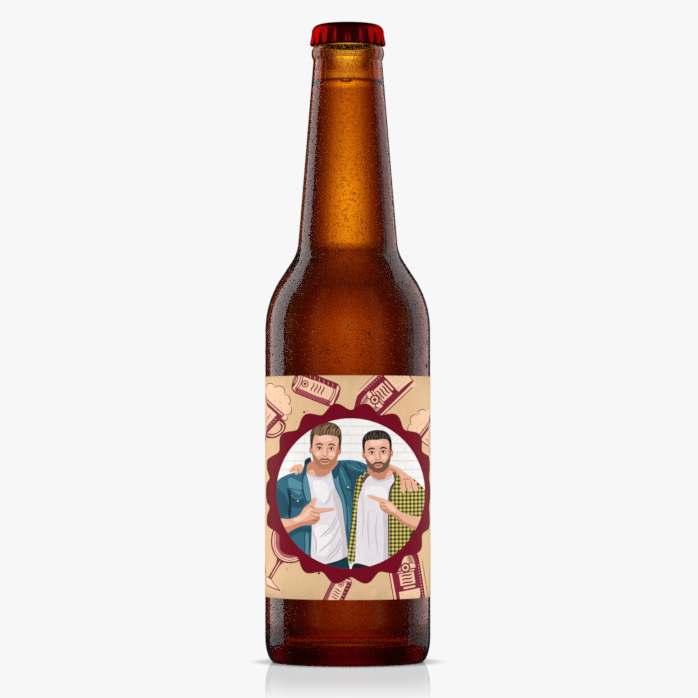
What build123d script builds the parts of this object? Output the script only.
"""Capped beer bottle: an amber glass bottle, the beer in it, a crimped metal cap and a wrap-round label.

Frame: +Z up, origin at the centre of the base ring that the bottle stands on, label front towards -Y.
Sizes are in millimetres. Glass, beer and label are turned about Z; glass and beer share one inside outline.
"""

from math import atan2, cos, sin
import os

from build123d import *

# Glass, outside
body_diameter = 61.2
bottle_height = 236.5           # base ring to mouth
shoulder_height = 133.4         # where the body line and the shoulder slope would meet
shoulder_rise = 18.2            # from there to where the slope would meet the neck line
neck_root_diameter = 37.4
neck_top_diameter = 25.6
shoulder_radius = 35.0          # rounding between body and slope
neck_root_radius = 16.0         # rounding between slope and neck
heel_height = 9.4               # the heel is a quarter of an ellipse
heel_inset = 3.4
base_ring_width = 1.8           # flat ring that touches the table
push_up_height = 3.0            # dome under the base

# Mouth of the glass, from the top of the neck up
finish_height = 13.0            # neck top to mouth
bead_height = 4.9               # rounded bead below the cap
bead_stand = 0.7                # how far the bead stands out of the neck
ring_diameter = 26.2            # ring that the cap grips
ring_height = 6.6
groove_depth = 0.5              # groove between bead and ring
lip_radius = 2.9

# Glass, inside
body_wall = 2.5
neck_wall = 3.0                 # at the neck root
mouth_bore = 17.2
mouth_bore_length = 12.0        # straight stretch below the mouth
floor_thickness = 4.0           # over the crest of the dome
floor_radius = 9.0              # rounding between floor and wall

# Beer
headspace = 20.9                # mouth down to the level of the beer

# Cap
cap_sheet = 0.25
cap_height = 7.7
cap_clearance = 0.1             # between the grip ring and the valleys of the skirt
cap_side = 0.5                  # plain side between the rounded top and the flare of the skirt
cap_side_stand = 0.05           # how far the side stands out of the valleys
cap_flare_radius = 4.0
ridge_count = 21
ridge_stand = 0.75              # how far a ridge stands out of the valleys at the lower edge
ridge_width = 2.0
ridge_blend = 0.5               # rounding at the foot of each ridge

# Label
label_height = 81.3
label_bottom = 24.3             # above the table
label_paper = 0.1
label_overlap = 5.0             # where one end of the label is glued over the other

# Places that follow from the sizes above
body_r = body_diameter / 2
root_r = neck_root_diameter / 2
neck_r = neck_top_diameter / 2
ring_r = ring_diameter / 2
bore_r = mouth_bore / 2
root_height = shoulder_height + shoulder_rise
neck_top = bottle_height - finish_height
ring_bottom = bottle_height - ring_height
base_ring_r = body_r - heel_inset
push_up_r = base_ring_r - base_ring_width
fill_level = bottle_height - headspace
cap_bottom = bottle_height + cap_sheet - cap_height
cap_valley_r = ring_r + cap_clearance + cap_sheet
cap_top_radius = lip_radius + cap_sheet
slope = atan2(body_r - root_r, shoulder_rise)
taper = atan2(root_r - neck_r, neck_top - root_height)


def inner_corner(radius, height, wall, lean_below, lean_above):
    """Corner of the inside line, one wall in from an outside corner where the lean of the glass changes."""
    lean = (lean_below + lean_above) / 2
    reach = wall / cos((lean_above - lean_below) / 2)
    return radius - reach * cos(lean), height - reach * sin(lean)


def outside_line():
    """Half outline of the glass: dome under the base, base ring, heel, body, shoulder, neck and mouth."""
    dome_r = (push_up_r**2 + push_up_height**2) / (2 * push_up_height)
    half_dome = atan2(push_up_r, dome_r - push_up_height) / 2
    bead_top = neck_top + bead_height
    groove_r = ring_r - groove_depth

    ThreePointArc(
        (0, push_up_height),
        (dome_r * sin(half_dome), push_up_height - dome_r * (1 - cos(half_dome))),
        (push_up_r, 0),
    )
    Line((push_up_r, 0), (base_ring_r, 0))
    EllipticalCenterArc((base_ring_r, heel_height), heel_inset, heel_height, start_angle=-90, arc_size=90)
    FilletPolyline(
        (body_r, heel_height),
        (body_r, shoulder_height),
        (root_r, root_height),
        (neck_r, neck_top),
        radius=[shoulder_radius, neck_root_radius],
    )
    ThreePointArc((neck_r, neck_top), (neck_r + bead_stand, neck_top + bead_height / 2), (neck_r, bead_top))
    Polyline(
        (neck_r, bead_top),
        (groove_r, bead_top),
        (groove_r, ring_bottom),
        (ring_r, ring_bottom + groove_depth),
    )
    FilletPolyline(
        (ring_r, ring_bottom + groove_depth),
        (ring_r, bottle_height),
        (0, bottle_height),
        radius=[lip_radius],
    )
    Line((0, bottle_height), (0, push_up_height))


def inside_line():
    """Half outline of the space inside the glass, from the floor up to the mouth."""
    floor_height = push_up_height + floor_thickness
    wall_corner = inner_corner(body_r, shoulder_height, body_wall, 0, slope)
    FilletPolyline(
        (0, floor_height),
        (wall_corner[0], floor_height),
        wall_corner,
        inner_corner(root_r, root_height, neck_wall, slope, taper),
        (bore_r, bottle_height - mouth_bore_length),
        (bore_r, bottle_height),
        radius=[floor_radius, shoulder_radius - body_wall, neck_root_radius + neck_wall, neck_root_radius],
    )
    Polyline((bore_r, bottle_height), (0, bottle_height), (0, floor_height))


def cap_line(inset):
    """Half outline of the cap over its ridges, drawn this far inside the outer skin."""
    top = bottle_height + cap_sheet - inset
    side_bottom = bottle_height + cap_sheet - cap_top_radius - cap_side
    side_r = cap_valley_r + cap_side_stand - inset
    skirt_r = cap_valley_r + ridge_stand - inset
    FilletPolyline(
        (0, top),
        (side_r - 2 * cap_side_stand, top),
        (side_r, side_bottom),
        (skirt_r, cap_bottom),
        radius=[cap_top_radius - inset, cap_flare_radius],
    )
    Polyline((skirt_r, cap_bottom), (0, cap_bottom), (0, top))


def cap_skin(inset):
    """Solid bounded by the outer skin of the cap, or by the inner skin when inset by the sheet."""
    with BuildPart() as skin:
        with BuildSketch(Plane.XY.offset(cap_bottom)) as plan:
            Circle(cap_valley_r - inset)
            with PolarLocations(cap_valley_r + ridge_stand - ridge_width / 2, ridge_count, start_angle=-90):
                Circle(ridge_width / 2 - inset)
            fillet(plan.vertices(), ridge_blend + inset)
        extrude(amount=cap_height)
        with BuildSketch(Plane.XZ):
            with BuildLine():
                cap_line(inset)
            make_face()
        revolve(axis=Axis.Z, mode=Mode.INTERSECT)
    return skin.part


os.makedirs("parts", exist_ok=True)

# Glass: the outside turned about Z, less the space inside
with BuildPart() as bottle_glass:
    with BuildSketch(Plane.XZ):
        with BuildLine():
            outside_line()
        make_face()
        with BuildLine():
            inside_line()
        make_face(mode=Mode.SUBTRACT)
    revolve(axis=Axis.Z)

# Beer: the same inside outline, up to the level of the beer
with BuildPart() as beer:
    with BuildSketch(Plane.XZ):
        with BuildLine():
            inside_line()
        make_face()
        Rectangle(body_r, fill_level, align=(Align.MIN, Align.MIN), mode=Mode.INTERSECT)
    revolve(axis=Axis.Z)

# Cap: outer skin less inner skin, seated on the mouth
with BuildPart() as cap:
    add(cap_skin(0))
    add(cap_skin(cap_sheet), mode=Mode.SUBTRACT)

# Label: one turn of paper on the body, the glued overlap at the back
with BuildPart() as label:
    with BuildSketch(Plane.XY.offset(label_bottom)):
        Circle(body_r + label_paper)
        with Locations((0, body_r)):
            Rectangle(label_overlap, 4 * label_paper)
        Circle(body_r + 2 * label_paper, mode=Mode.INTERSECT)
        Circle(body_r, mode=Mode.SUBTRACT)
    extrude(amount=label_height)

for name, piece in (("bottle_glass", bottle_glass), ("beer", beer), ("cap", cap), ("label", label)):
    piece.part.label = name
    export_step(piece.part, f"parts/{name}.step")
    print(f"{name}: {piece.part.volume / 1000:.2f} cm3")
